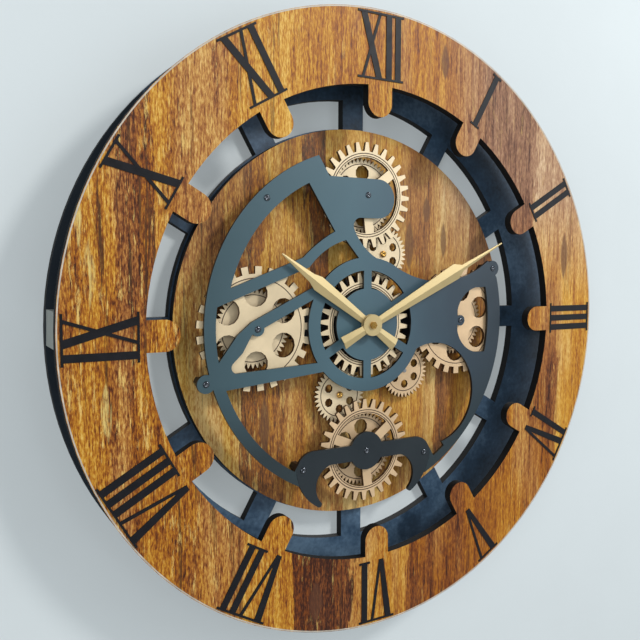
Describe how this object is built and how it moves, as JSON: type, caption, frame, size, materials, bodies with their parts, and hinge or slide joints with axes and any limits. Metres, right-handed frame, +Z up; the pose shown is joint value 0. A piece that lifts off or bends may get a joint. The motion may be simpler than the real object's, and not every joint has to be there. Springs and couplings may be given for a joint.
{
  "type": "gear wall clock",
  "caption": "Round wall clock: a numeral ring stands in front of a slotted back plate, with two hands over a pierced frame and a turning gear train.",
  "frame": {"origin": "on the hands' axis, halfway between the dial's front face and the wall face", "axes": "+X to the viewer's right, +Z up towards twelve o'clock, -Y towards the viewer, +Y into the wall"},
  "size_m": [0.5999, 0.058, 0.6],
  "materials": {
    "wood_print": "satin",
    "back_black": "matte",
    "spacer_grey": "matte",
    "frame_slate": "satin paint",
    "gear_cream": "satin paint",
    "train_black": "matte",
    "post_dark": "satin",
    "pin_steel": "brushed",
    "hand_gold": "satin",
    "brass": "polished",
    "case_black": "fine grain",
    "knob_grey": "matte",
    "cell": "gloss",
    "contact": "bright",
    "hanger_steel": "zinc"
  },
  "bodies": {
    "clock_body": {"numeral_ring": "wood_print", "inner_disc": "wood_print", "back_plate": "back_black", "ring_spacers": "spacer_grey", "frame_plate": "frame_slate", "lower_bridge": "frame_slate", "frame_posts": "post_dark", "axle_pins": "pin_steel", "movement_bush": "brass", "movement_nut": "brass", "movement_case": "case_black", "motor_case": "case_black", "batteries": "cell", "battery_contacts": "contact", "hanger_plate": "hanger_steel"},
    "minute": {"minute_hand": "hand_gold", "minute_arbor": "brass", "hand_nut": "brass"},
    "hour": {"hour_hand": "hand_gold", "hour_tube": "brass"},
    "set_knob": {"set_knob": "knob_grey"},
    "centre": {"centre_gear": "gear_cream", "centre_wheel": "train_black"},
    "top": {"top_gear": "gear_cream", "top_wheel": "gear_cream"},
    "bottom": {"bottom_gear": "gear_cream", "bottom_wheel": "gear_cream"},
    "left": {"left_gear": "gear_cream", "left_wheel": "gear_cream"},
    "right": {"right_gear": "gear_cream", "right_wheel": "gear_cream"},
    "upper_pinion": {"upper_pinion": "gear_cream"},
    "lower_pinion": {"lower_pinion": "gear_cream"},
    "drive": {"drive_pinion": "gear_cream", "drive_shaft": "pin_steel"},
    "left_idler": {"left_idler": "train_black"},
    "right_idler": {"right_idler": "train_black"},
    "switch": {"motor_switch": "knob_grey"}
  },
  "joints": [
    {"name": "minute_turn", "type": "hinge", "parent": "clock_body", "child": "minute", "pos_m": [0, -0.0196, 0], "axis": [0, 1, 0], "continuous": true},
    {"name": "hour_turn", "type": "hinge", "parent": "clock_body", "child": "hour", "pos_m": [0, -0.0158, 0], "axis": [0, 1, 0], "continuous": true},
    {"name": "set_knob_turn", "type": "hinge", "parent": "clock_body", "child": "set_knob", "pos_m": [0.014, 0.029, -0.014], "axis": [0, 1, 0], "continuous": true},
    {"name": "centre_turn", "type": "hinge", "parent": "clock_body", "child": "centre", "pos_m": [0, 0.005, 0], "axis": [0, 1, 0], "continuous": true},
    {"name": "top_turn", "type": "hinge", "parent": "clock_body", "child": "top", "pos_m": [0, 0.005, 0.12802], "axis": [0, 1, 0], "continuous": true},
    {"name": "bottom_turn", "type": "hinge", "parent": "clock_body", "child": "bottom", "pos_m": [0, 0.005, -0.12802], "axis": [0, 1, 0], "continuous": true},
    {"name": "left_turn", "type": "hinge", "parent": "clock_body", "child": "left", "pos_m": [-0.12, 0.005, 0], "axis": [0, 1, 0], "continuous": true},
    {"name": "right_turn", "type": "hinge", "parent": "clock_body", "child": "right", "pos_m": [0.12, 0.005, 0], "axis": [0, 1, 0], "continuous": true},
    {"name": "upper_pinion_turn", "type": "hinge", "parent": "clock_body", "child": "upper_pinion", "pos_m": [0.02565, 0.005, 0.07048], "axis": [0, 1, 0], "continuous": true},
    {"name": "lower_pinion_turn", "type": "hinge", "parent": "clock_body", "child": "lower_pinion", "pos_m": [-0.02565, 0.005, -0.07048], "axis": [0, 1, 0], "continuous": true},
    {"name": "drive_turn", "type": "hinge", "parent": "clock_body", "child": "drive", "pos_m": [0.05449, 0.005, -0.05153], "axis": [0, 1, 0], "continuous": true},
    {"name": "left_idler_turn", "type": "hinge", "parent": "clock_body", "child": "left_idler", "pos_m": [-0.066, 0.005, 0], "axis": [0, 1, 0], "continuous": true},
    {"name": "right_idler_turn", "type": "hinge", "parent": "clock_body", "child": "right_idler", "pos_m": [0.066, 0.005, 0], "axis": [0, 1, 0], "continuous": true},
    {"name": "switch_slide", "type": "slide", "parent": "clock_body", "child": "switch", "axis": [1, 0, 0], "range_m": [0, 0.004]}
  ],
  "couplings": [
    {"joint": "hour_turn", "follows": "minute_turn", "ratio": 0.083333},
    {"joint": "set_knob_turn", "follows": "minute_turn", "ratio": -1},
    {"joint": "upper_pinion_turn", "follows": "centre_turn", "ratio": -1.7778},
    {"joint": "lower_pinion_turn", "follows": "centre_turn", "ratio": -1.7778},
    {"joint": "drive_turn", "follows": "centre_turn", "ratio": -1.7778},
    {"joint": "left_idler_turn", "follows": "centre_turn", "ratio": -2.6667},
    {"joint": "right_idler_turn", "follows": "centre_turn", "ratio": -2.6667},
    {"joint": "top_turn", "follows": "centre_turn", "ratio": 1.3333},
    {"joint": "bottom_turn", "follows": "centre_turn", "ratio": 1.3333},
    {"joint": "left_turn", "follows": "centre_turn", "ratio": 1.3333},
    {"joint": "right_turn", "follows": "centre_turn", "ratio": 1.3333}
  ]
}
